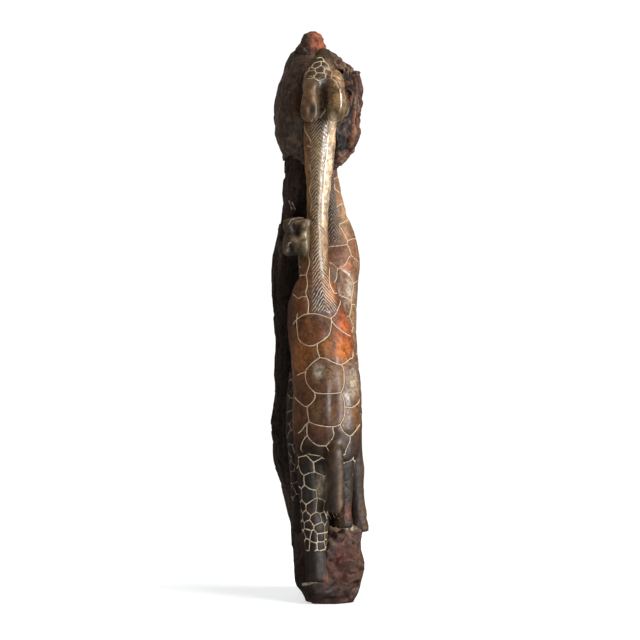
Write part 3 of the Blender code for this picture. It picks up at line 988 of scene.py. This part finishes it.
def paint_front(skin):
    """The near giraffe's colours from forehead to hoof: the stone's own, with painted highlights and
    painted shade.
    """
    z = skin.points[:, 2]
    x = skin.points[:, 0]
    skin.values["gloss"] = -0.25 - 0.75 * eased(z, 122, 104)
    skin.wash((0.035, 0.024, 0.012), eased(z, 385, 395))
    skin.wash((0.16, 0.085, 0.036), eased(z, 262, 300) * eased(z, 395, 385))
    skin.wash((0.13, 0.075, 0.036), skin.share("ossicone_left"))
    skin.wash((0.25, 0.15, 0.075), skin.share("ossicone_right"))
    skin.wash((0.07, 0.036, 0.017), skin.share("ear_left", "ear_right"))
    skin.paint(
        ((0.04, 0.032, 0.02), (-3, -40, 411), (9, 30, 10), 0.7),
        ((0.2, 0.11, 0.06), (8, -40, 421), (5, 30, 8), 0.7),
        # Painted shade: these five spots darken the hollows under and between the horns; the olive third
        # one, under the right horn, is partly its own colour.
        ((0.008, 0.003, 0.002), (-6, -46, 384), (8, 40, 9), 1.0),
        ((0.02, 0.011, 0.008), (0, -46, 380), (9, 30, 4), 0.8),
        ((0.08, 0.055, 0.014), (13, -44, 383), (9, 30, 6.5), 0.85),
        ((0.014, 0.008, 0.006), (2.6, -40, 389), (3.0, 30, 12), 1.0),
        ((0.025, 0.015, 0.012), (1.8, -40, 402), (4.5, 30, 5), 0.9),
        ((0.3, 0.33, 0.34), (3, -40, 408.4), (2.2, 30, 1.4), 0.8),
        ((0.2, 0.135, 0.07), (-1, -30, 335), (5.5, 40, 60), 0.75),
        # Painted highlight: these six spots paint the bright strip down the right of the neck; the
        # first, tan, is partly the stone's own colour.
        ((0.42, 0.26, 0.14), (9, -30, 325), (2.6, 40, 40), 0.8),
        ((0.8, 0.62, 0.42), (10.5, -30, 371), (2.6, 40, 11), 0.85),
        ((0.9, 0.72, 0.55), (7.6, -30, 350), (2.8, 40, 13), 0.9),
        ((0.9, 0.72, 0.55), (5.2, -30, 328), (2.8, 40, 14), 0.9),
        ((0.8, 0.6, 0.42), (3.8, -30, 303), (2.6, 40, 16), 0.8),
        ((0.6, 0.42, 0.26), (3.4, -30, 272), (2.4, 40, 16), 0.65),
        ((0.2, 0.09, 0.03), (-9, -30, 325), (4, 40, 80), 0.8),
        ((0.4, 0.16, 0.075), (8, -35, 242), (4.5, 40, 12), 0.85),
        ((0.05, 0.05, 0.065), (0, -40, 236), (6.5, 40, 12), 0.85),
        ((0.05, 0.05, 0.065), (11, -40, 229), (6, 40, 5), 0.7),
        ((0.42, 0.1, 0.03), (20, -45, 216), (6, 60, 13), 0.9),
        ((0.5, 0.15, 0.035), (18, -50, 197), (7, 60, 9), 0.9),
        ((0.22, 0.08, 0.018), (7, -50, 200), (7, 60, 8), 0.8),
        ((0.24, 0.08, 0.016), (-15, -50, 192), (7, 60, 14), 0.85),
        ((0.06, 0.042, 0.027), (2, -60, 180), (8, 60, 12), 0.8),
        ((0.17, 0.1, 0.055), (13, -60, 178), (7, 60, 12), 0.7),
        # Painted highlights on the two torso bulges.
        ((0.4, 0.34, 0.27), (-1, -60, 181), (3.5, 60, 5.5), 0.75),
        ((0.4, 0.33, 0.25), (26, -40, 172), (4.5, 60, 14), 0.85),
        ((0.03, 0.016, 0.014), (9, -62, 162), (5, 60, 5), 0.9),
        ((0.03, 0.014, 0.008), (5, -62, 150), (2.5, 60, 10), 0.7),
        ((0.09, 0.048, 0.014), (-3, -62, 151), (6, 60, 12), 0.7),
        ((0.12, 0.06, 0.025), (13, -62, 150), (5, 60, 12), 0.6),
        ((0.13, 0.07, 0.03), (27, -40, 145), (8, 60, 12), 0.7),
        ((0.045, 0.019, 0.008), (-14, -40, 160), (5, 60, 20), 0.7),
    )
    # Painted shade: the far left of the body is darkened.
    skin.wash((0.024, 0.012, 0.008), 0.8 * eased(x, -18, -25))
    # Painted shade: the tint is darkened towards the bottom, so the legs sit in shade.
    shade = 0.2 + 0.8 * eased(z, 112, 150)
    skin.values["tint"] *= shade[:, None]
    skin.wash((0.036, 0.017, 0.006), 0.85 * skin.share("tail"))
    skin.paint(
        ((0.08, 0.024, 0.008), (-1, -60, 132), (7, 60, 6), 0.8),
        ((0.035, 0.018, 0.008), (14, -60, 127), (6, 60, 7), 0.8),
        ((0.05, 0.03, 0.015), (24, -50, 127), (6, 60, 9), 0.6),
        ((0.016, 0.013, 0.010), (-8, -45, 92), (8, 60, 26), 0.9),
        ((0.5, 0.41, 0.3), (1.2, -50, 92), (3, 60, 9), 0.9),
        ((0.06, 0.02, 0.009), (-7, -50, 71), (3, 60, 4), 0.7),
        ((0.17, 0.1, 0.04), (16.3, -50, 85), (1.6, 60, 26), 0.85),
        ((0.022, 0.016, 0.010), (21.5, -42, 100), (3.6, 60, 26), 0.85),
        ((0.12, 0.035, 0.02), (22, -42, 72), (4, 60, 6), 0.9),
        ((0.012, 0.008, 0.006), (-4, -48, 30), (11, 60, 20), 0.95),
        ((0.17, 0.105, 0.045), (6.8, -50, 40), (1.6, 60, 14), 0.9),
        ((0.2, 0.06, 0.035), (6.5, -52, 19), (3, 60, 4), 0.9),
    )
    skin.values["line"] *= 1 - 0.4 * skin.share("hind_leg_right")
    skin.shine(
        ((7, -30, 320), (7, 40, 95), 1.0),
        ((4, -62, 180), (9, 30, 8), 1.0),
        ((26, -42, 172), (6, 30, 16), 1.0),
        ((20, -46, 196), (5, 30, 8), 0.8),
        ((14, -44, 393), (8, 30, 14), 0.7),
        ((-6.5, -44, 396), (3, 30, 3), 0.8),
    )


def build_rear_giraffe(material):
    skin = Figure("rear_giraffe")
    tip = eased(skin.points[:, 0], 2, 22) * eased(skin.points[:, 2], 392, 425)
    skin.points -= tip[:, None] * np.array((9, -2, 5))
    skin.shape_legs()
    z = skin.points[:, 2]
    plain = skin.share("tail", *HORNS) + skin.legs() * eased(z, 150, 140)
    skin.comb_mane(
        (
            (284, 12, 24, 4.5),
            (300, 10, 30, 5),
            (330, 6, 36, 5),
            (372, 1, 42, 5),
        ),
        (0.1, -1),
    )
    plain = np.maximum(plain, skin.values["mane"] * 1.5)
    spots = ((16, 274), (28, 262), (20, 250), (30, 240), (17, 232), (29, 222), (24, 296))
    skin.engrave(skin.spacing(14), on_back(skin, spots), plain, 11)
    z = skin.points[:, 2]
    skin.dish_ears()
    skin.colour((0.17, 0.075, 0.034), 5)
    skin.values["gloss"] = -0.5 - 0.5 * np.maximum(skin.values["mane"], eased(z, 175, 140))
    skin.wash((0.15, 0.095, 0.045), skin.share("ossicone_left", "ossicone_right"))
    skin.wash((0.07, 0.036, 0.017), skin.share("ear_left"))
    # Painted shade: the tint is darkened towards the bottom.
    skin.values["tint"] *= (0.25 + 0.75 * eased(z, 130, 175))[:, None]
    skin.wash((0.04, 0.018, 0.011), skin.values["mane"])
    skin.values["mane"] *= 0.42
    skin.paint(
        ((0.38, 0.22, 0.11), (21, 20, 318), (5, 60, 30), 0.85),
        ((0.06, 0.021, 0.010), (14, 10, 279), (9, 60, 9), 0.95),
        ((0.2, 0.1, 0.05), (27, 10, 275), (4, 60, 14), 0.6),
        ((0.34, 0.1, 0.04), (22.5, 10, 264), (4, 60, 5.5), 0.95),
        # Painted highlight: a pale grey glossy strip on the flank.
        ((0.48, 0.42, 0.34), (24, 10, 246), (3.2, 60, 11), 0.9),
        ((0.06, 0.03, 0.016), (16, 10, 252), (4, 60, 10), 0.8),
        ((0.28, 0.17, 0.09), (30, 10, 225), (6, 60, 22), 0.7),
        # The far hind leg: dark, with a painted highlight along its golden right edge and painted shade
        # over its black left half.
        ((0.022, 0.010, 0.004), (29, 0, 105), (9, 60, 60), 0.97),
        ((0.09, 0.046, 0.016), (37, 0, 105), (3, 60, 55), 0.8),
        ((0.006, 0.004, 0.003), (19, 0, 105), (8, 60, 60), 0.97),
    )
    skin.shine(((25, 10, 245), (8, 30, 22), 1.0))
    skin.carve_face(head_frame((0.3, -0.12, 0.92), (-0.8, 0.55, 0.25), (-2.5, 41, 390)))
    skin.place("polished_stone", material)


def build_calf(material):
    clay = (
        ((-14.5, -22, 287), (8.2, 8, 14.5)),
        ((-18.5, -23, 295.5), (6.2, 6, 5.8)),
        ((-20, -24, 283.5), (6.4, 6, 5.6)),
        ((-25.5, -22, 276.5), (2.2, 3, 4.2)),
        ((-19.5, -21, 277), (5.5, 6, 5)),
        ((-11.8, -26, 280), (4.4, 5, 9)),
    )
    skin = Figure("calf", 1.0, 10, clay, 0.575)
    over = np.maximum(skin.points[:, 2] - 300, 0)
    skin.points[:, 2] -= 0.8 * over
    skin.shape_legs()
    skin.bump(
        ((-20.5, -30, 294.5), (2.3, 7, 4.2), -2.2),
        ((-18, -31, 289), (2, 7, 3), -1.6),
        ((-20.4, -31, 296), (1.2, 5, 1.3), 1.2),
        ((-22.5, -30, 278), (2.2, 7, 4), -2.4),
        ((-19, -32, 283), (3.5, 6, 2.4), 0.7),
        ((-24.5, -27, 281.5), (1.3, 5, 1.6), 0.8),
        ((-14, -32, 296), (2, 6, 5), 0.5),
    )
    spacing = (
        9.5 * skin.share("torso")
        + 8 * skin.share("neck", "head", "tail", *HORNS)
        + 7.5 * skin.legs()
    )
    z = skin.points[:, 2]
    plain = skin.share("tail", "head", *HORNS) + skin.legs() * eased(z, 80, 74)
    plain = np.maximum(plain, eased(z, 262, 266))
    skin.comb_mane(((247, -11.6, -12, 2.8), (292, -12, -14, 3.2)), (1, 0.2), 0.4)
    plain = np.maximum(plain, skin.values["mane"] * 1.5)
    skin.engrave(spacing, (), plain, 13)
    skin.colour((0.085, 0.052, 0.025), 9)
    skin.values["gloss"] -= 0.5
    skin.wash((0.02, 0.012, 0.008), eased(skin.points[:, 2], 262, 240))
    dark = (0.010, 0.006, 0.004)
    skin.paint(
        (dark, (-20.3, -28, 294.5), (2.6, 20, 4.6), 0.95),
        (dark, (-17.6, -28, 289), (2, 20, 3), 0.85),
        (dark, (-22.5, -28, 277.8), (2.3, 20, 4.2), 0.95),
        ((0.09, 0.045, 0.028), (-25, -28, 289), (3, 20, 5), 0.7),
        ((0.22, 0.14, 0.09), (-11, -30, 300), (7, 20, 4), 0.7),
        ((0.17, 0.125, 0.05), (-11.5, -30, 282), (4, 20, 10), 0.7),
        ((0.2, 0.12, 0.06), (-20, -30, 284), (4, 20, 2), 0.6),
        ((0.02, 0.012, 0.009), (-20, -28, 273.5), (7, 20, 3), 0.9),
        ((0.03, 0.018, 0.012), (-25.5, -28, 288), (3.6, 20, 9), 0.85),
        ((0.14, 0.115, 0.07), (-26, -28, 276), (1.6, 20, 3.5), 0.9),
    )
    skin.values["line"] *= 0.75 + 0.25 * eased(skin.points[:, 2], 240, 262)
    skin.shine(((-9.5, -30, 286), (3, 30, 8), 0.3), ((-20.4, -29, 296), (1.6, 30, 1.6), 0.9))
    curl = (
        ((-24.8, 279.2), (-24.2, 281.6)),
        ((-24.2, 281.6), (-22.6, 282)),
        ((-24.4, 296.4), (-22.8, 299.4)),
        ((-22.8, 299.4), (-19.6, 301)),
    )
    scratch(skin, curl, 0.35)
    skin.place("calf_stone", material)


# ---------------------------------------------------------------- tree and rock


def facets(points, size, tilt, seed):
    """Height of a broken surface: flat chips, each leaning its own way."""
    random = np.random.default_rng(seed)
    low, high = points.min(0), points.max(0)
    count = int(np.prod((high - low) / size)) + 8
    centres = random.uniform(low, high, (count, 3))
    lean = random.normal(size=(count, 3))
    lean *= tilt / np.linalg.norm(lean, axis=1, keepdims=True)
    index = closest_two(points, centres)[0][:, 0]
    return ((points - centres[index]) * lean[index]).sum(1)


def start_rock(nodes, grain, rounds, ground, clay=()):
    """A rough stone's skin, with its ground tint."""
    skin = moulded(nodes, grain, clay)
    skin.polish(rounds)
    count = len(skin.points)
    skin.values["tint"] = np.tile(np.array(ground, float), (count, 1))
    skin.values["line"] = np.zeros(count)
    skin.values["gloss"] = np.zeros(count)
    return skin


def build_trunk(material):
    """The nearly black trunk: long chisel flats, shallow gouges and a few pale nicks."""
    skin = start_rock(["tree_trunk"], 1.2, 16, (0.015, 0.0095, 0.0075))
    points = skin.points
    tall = points / (1, 1, 4.5)
    gouges = 1 - np.abs(fractal(tall, 8, 60, 2))
    chips = facets(points / (1, 1, 2.5), 9, 0.2, 5)
    skin.push(-0.7 + 0.9 * fractal(points, 16, 61) + 0.8 * chips - 1.1 * eased(gouges, 0.8, 1))
    skin.paint(
        # Painted sheen: a brown highlight low on the trunk.
        ((0.045, 0.026, 0.016), (-23, 5, 74), (8, 60, 22), 0.8),
        ((0.07, 0.045, 0.03), (-32, 5, 274), (3, 60, 16), 0.7),
        ((0.02, 0.014, 0.010), (-28, 5, 130), (8, 60, 18), 0.6),
        ((0.042, 0.027, 0.02), (-20, 5, 325), (14, 60, 26), 0.8),
        ((0.02, 0.011, 0.007), (-30, 5, 240), (8, 60, 40), 0.7),
    )
    skin.wash((0.05, 0.032, 0.02), 0.5 * eased(points[:, 1], 24, 40) * eased(gouges, 0.95, 0.7))
    nicks = (
        ((-24.5, 316), (-22, 309.5)),
        ((-22, 315), (-19.5, 309)),
        ((-27.5, 322), (-27, 318)),
        ((-31, 150), (-30.2, 148.5)),
        ((-28, 140), (-27, 138.5)),
        ((-27, 121), (-26.5, 119.5)),
        ((-23, 103), (-22.2, 101)),
        ((-21, 84), (-20.5, 81)),
    )
    scratch(skin, nicks, 0.4)
    stand(skin, "tree_trunk_stone", material, ["tree_trunk"])


def build_crown(material):
    """The rough crown: brown-black on the left, torn and rusty on the right."""
    skin = start_rock(["tree_crown"], 0.95, 12, (0.055, 0.034, 0.024))
    points = skin.points
    right = eased(points[:, 0] + 4 * noise(points, 14, 68), 6, 20)
    tall = points / (1, 1, 4.0)
    fissure = 1 - np.abs(fractal(tall, 6, 70, 3))
    lumps = fractal(points, 13, 80)
    chips = facets(points, 8, 0.3, 8) * (0.25 + 0.75 * right)
    relief = 1.2 * lumps + 0.6 * chips - 3.8 * right * eased(fissure, 0.74, 0.97)
    relief += 0.5 * fractal(points, 3.4, 84, 2) * (0.35 + 0.65 * right)
    skin.push(-0.9 + skin.soften(relief, 2))
    skin.wash((0.1, 0.062, 0.04), 0.6 * (1 - right) * eased(noise(points, 5, 95), 0.2, 0.7))
    skin.wash((0.085, 0.036, 0.022), right)
    skin.wash((0.24, 0.15, 0.1), 0.7 * right * eased(noise(points / (1, 1, 2), 6, 90), 0.0, 0.5))
    skin.wash((0.24, 0.07, 0.028), 0.4 * right * eased(noise(points / (1, 1, 2), 8, 91), 0.2, 0.6))
    # Painted shade: the deep fissures on the right are darkened almost to black.
    skin.wash((0.008, 0.004, 0.003), right * eased(fissure, 0.8, 0.93))
    skin.paint(((0.035, 0.034, 0.033), (17, -20, 367), (5, 60, 11), 0.95))
    skin.values["gloss"] = 0.8 * eased(noise(points, 7, 97), 0.0, 0.5)
    stand(skin, "tree_crown_stone", material, ["tree_crown"])


def build_knob(material):
    """The small knob on the crown: brown on the left, red on the right."""
    skin = start_rock(["crown_knob"], 0.7, 6, (0.045, 0.026, 0.014))
    points = skin.points
    chips = facets(points, 6, 0.45, 4)
    skin.push(-0.4 + skin.soften(0.5 * fractal(points, 5, 33) + 0.5 * chips, 2))
    skin.wash((0.25, 0.065, 0.026), eased(points[:, 0] + 3 * noise(points, 6, 2), -12, 0))
    stand(skin, "crown_knob_stone", material, ["crown_knob"])


# How far the rock reaches to either side, as height and x.
LEFT_EDGE = ((0, -11), (8, -16.5), (17, -19.5), (26, -20.5), (40, -21.8), (64, -22.8))
RIGHT_EDGE = ((0, 27), (8, 30.5), (17, 33.5), (26, 35.8), (34, 33), (44, 32.2), (57, 35))


def build_rock(material):
    """The rock underfoot: broken and reddish on the right; worn on the left, where painted shade turns
    it black.
    """
    clay = (
        ((-1, -50, 11), (14, 14, 12)),
        ((-11, -42, 18), (11, 12, 20)),
        ((27, 6, 50), (10, 13, 5)),
    )
    skin = start_rock(["base_rock"], 1.15, 8, (0.052, 0.018, 0.009), clay)
    points = skin.points
    free = eased(points[:, 2], 0.5, 4)
    chips = facets(points, 15, 0.4, 21) + 0.7 * facets(points, 7, 0.45, 22)
    smooth_toe = np.exp(-(((points - (0, -62, 8)) / (18, 20, 9)) ** 2).sum(1))
    rough = 1.3 * fractal(points, 14, 50) + 0.9 * chips + 0.4 * fractal(points, 3, 55, 2)
    worn = np.maximum(smooth_toe, eased(points[:, 0], 2, -8) * eased(points[:, 1], 20, 0))
    skin.push(free * (-0.9 + skin.soften((1 - 0.85 * worn) * rough, 2)))
    reach = skin.points[:, 1] / 1950 + 1
    for limit, sign in ((LEFT_EDGE, -1), (RIGHT_EDGE, 1)):
        edge = np.interp(skin.points[:, 2], *np.array(limit, float).T) * reach
        over = np.maximum(sign * (skin.points[:, 0] - edge), 0)
        skin.points[:, 0] -= sign * 0.85 * over
    lifted = eased(skin.points[:, 0], -4, -22) * eased(skin.points[:, 2], 16, 0)
    skin.points[:, 2] += 9 * lifted
    points = skin.points
    skin.paint(
        # Painted shade: the left side is painted black.
        ((0.006, 0.004, 0.0035), (-22, -20, 30), (19, 80, 45), 0.98),
        ((0.075, 0.034, 0.018), (35, -20, 18), (7, 80, 18), 0.8),
        ((0.09, 0.05, 0.03), (32, -40, 36), (5, 60, 9), 0.6),
        ((0.07, 0.016, 0.010), (17, -40, 36), (10, 60, 14), 0.6),
        ((0.014, 0.006, 0.005), (6, -60, 9), (19, 60, 8), 0.9),
        ((0.012, 0.008, 0.007), (8, -50, 46), (6, 60, 10), 0.8),
        ((0.008, 0.006, 0.005), (-10, -50, 12), (12, 60, 10), 0.8),
    )
    # Painted light: faces turned up on the right side are washed paler.
    painted_top_light = eased(skin.normals()[:, 2], 0.3, 0.7) * eased(points[:, 2], 40, 50)
    skin.wash((0.2, 0.15, 0.11), 0.4 * painted_top_light * (points[:, 0] > 8))
    skin.values["gloss"] = 0.8 * eased(noise(points, 6, 57), 0.1, 0.6) * eased(points[:, 0], 0, 10)
    # The first two scratches, low on the front, are a pale line that paints a highlight along the edge;
    # the rest are pale scratches.
    edges = (
        ((-13, 15), (-6, 17)),
        ((-6, 17), (1, 19)),
        ((12, 59), (17, 61)),
        ((17, 61), (22, 56)),
        ((24, 58), (27, 55)),
        ((29, 57), (35, 56)),
    )
    scratch(skin, edges, 0.7)
    stand(skin, "base_rock_stone", material, ["base_rock"])


# ---------------------------------------------------------------- studio


def build_studio():
    """A pale floor, a bright surround and three lights.

    A soft key comes from the right and a weaker fill from behind. Neither shows in reflections,
    so that dark stone keeps its colour; a tall softbox gives the highlights and nothing else.
    """
    mesh = bpy.data.meshes.new("floor")
    half = FLOOR_HALF
    corners = [(-half, -half, 0), (half, -half, 0), (half, half, 0), (-half, half, 0)]
    mesh.from_pydata(corners, [], [(0, 1, 2, 3)])
    floor = bpy.data.objects.new("studio_floor", mesh)
    bpy.context.scene.collection.objects.link(floor)
    paper = bpy.data.materials.new("pale_floor")
    paper.use_nodes = True
    shader = paper.node_tree.nodes["Principled BSDF"]
    shader.inputs["Base Color"].default_value = (0.46, 0.47, 0.48, 1)
    shader.inputs["Emission Color"].default_value = (1, 1, 1, 1)
    shader.inputs["Emission Strength"].default_value = 0.55
    shader.inputs["Roughness"].default_value = 0.95
    shader.inputs["Specular IOR Level"].default_value = 0.0
    mesh.materials.append(paper)
    floor.visible_glossy = False
    floor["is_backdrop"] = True

    world = bpy.data.worlds.new("surround")
    bpy.context.scene.world = world
    world.use_nodes = True
    nodes, links = world.node_tree.nodes, world.node_tree.links
    back = nodes["Background"]
    back.inputs["Color"].default_value = (1, 1, 1, 1)
    ray = nodes.new("ShaderNodeLightPath")
    level = nodes.new("ShaderNodeMapRange")
    level.inputs["To Min"].default_value = AMBIENT
    level.inputs["To Max"].default_value = BACKDROP
    links.new(ray.outputs["Is Camera Ray"], level.inputs["Value"])
    links.new(level.outputs["Result"], back.inputs["Strength"])

    key = hang("key", "SUN", KEY_POWER, (90 - KEY_HEIGHT, 0, KEY_SIDE))
    key.data.angle = math.radians(KEY_SPREAD)
    key.data.color = (1.0, 0.985, 0.96)
    key.visible_glossy = False
    fill = hang("fill", "SUN", FILL_POWER, (90 - FILL_HEIGHT, 0, FILL_SIDE))
    fill.data.angle = math.radians(FILL_SPREAD)
    fill.visible_glossy = False
    softbox = hang("softbox", "AREA", BOX_POWER, (82, 0, BOX_SIDE))
    softbox.data.shape = "RECTANGLE"
    softbox.data.size = 0.4
    softbox.data.size_y = 1.5
    turn = math.radians(BOX_SIDE)
    softbox.location = (BOX_DISTANCE * math.sin(turn), -BOX_DISTANCE * math.cos(turn), 0.55)
    softbox.visible_diffuse = False


def hang(name, kind, power, tilt):
    """A light with its turns about X, Y and Z in degrees."""
    lamp = bpy.data.lights.new(name, kind)
    lamp.energy = power
    light = bpy.data.objects.new(name, lamp)
    light.rotation_euler = [math.radians(angle) for angle in tilt]
    bpy.context.scene.collection.objects.link(light)
    return light


def build_camera():
    """A level camera in front, far enough away that the view hardly tapers."""
    camera = bpy.data.cameras.new("view")
    camera.sensor_width = SENSOR
    camera.lens = SENSOR * VIEW_DISTANCE / VIEW_WIDTH
    thing = bpy.data.objects.new("view", camera)
    thing.location = (VIEW_SIDE * MM, -VIEW_DISTANCE * MM, VIEW_HEIGHT * MM)
    thing.rotation_euler = (math.radians(90), 0, 0)
    bpy.context.scene.collection.objects.link(thing)
    bpy.context.scene.camera = thing
    bpy.context.scene.view_settings.view_transform = "Standard"


def main():
    polished = polished_stone("polished_serpentine", (2.6, 2.1, 1.3), (0.018, 0.009, 0.006))
    calf = polished_stone("calf_serpentine", (1.9, 1.6, 1.2), (0.012, 0.007, 0.005), 3.0)
    bark = raw_stone("black_stone", (0.03, 0.022, 0.018), 0.3, 0.45, 0.7, level=0.18)
    crown = raw_stone("crown_rind", (0.26, 0.17, 0.12), 0.4, 0.6, 0.9, level=0.25)
    knob = raw_stone("knob_rind", (0.45, 0.22, 0.12), 0.3, 0.5, 0.8)
    rock = raw_stone("red_rock", (0.22, 0.1, 0.05), 0.25, 0.45, 0.7, level=0.25)
    build_front_giraffe(polished)
    build_rear_giraffe(polished)
    build_calf(calf)
    build_trunk(bark)
    build_crown(crown)
    build_knob(knob)
    build_rock(rock)
    build_studio()
    build_camera()


main()
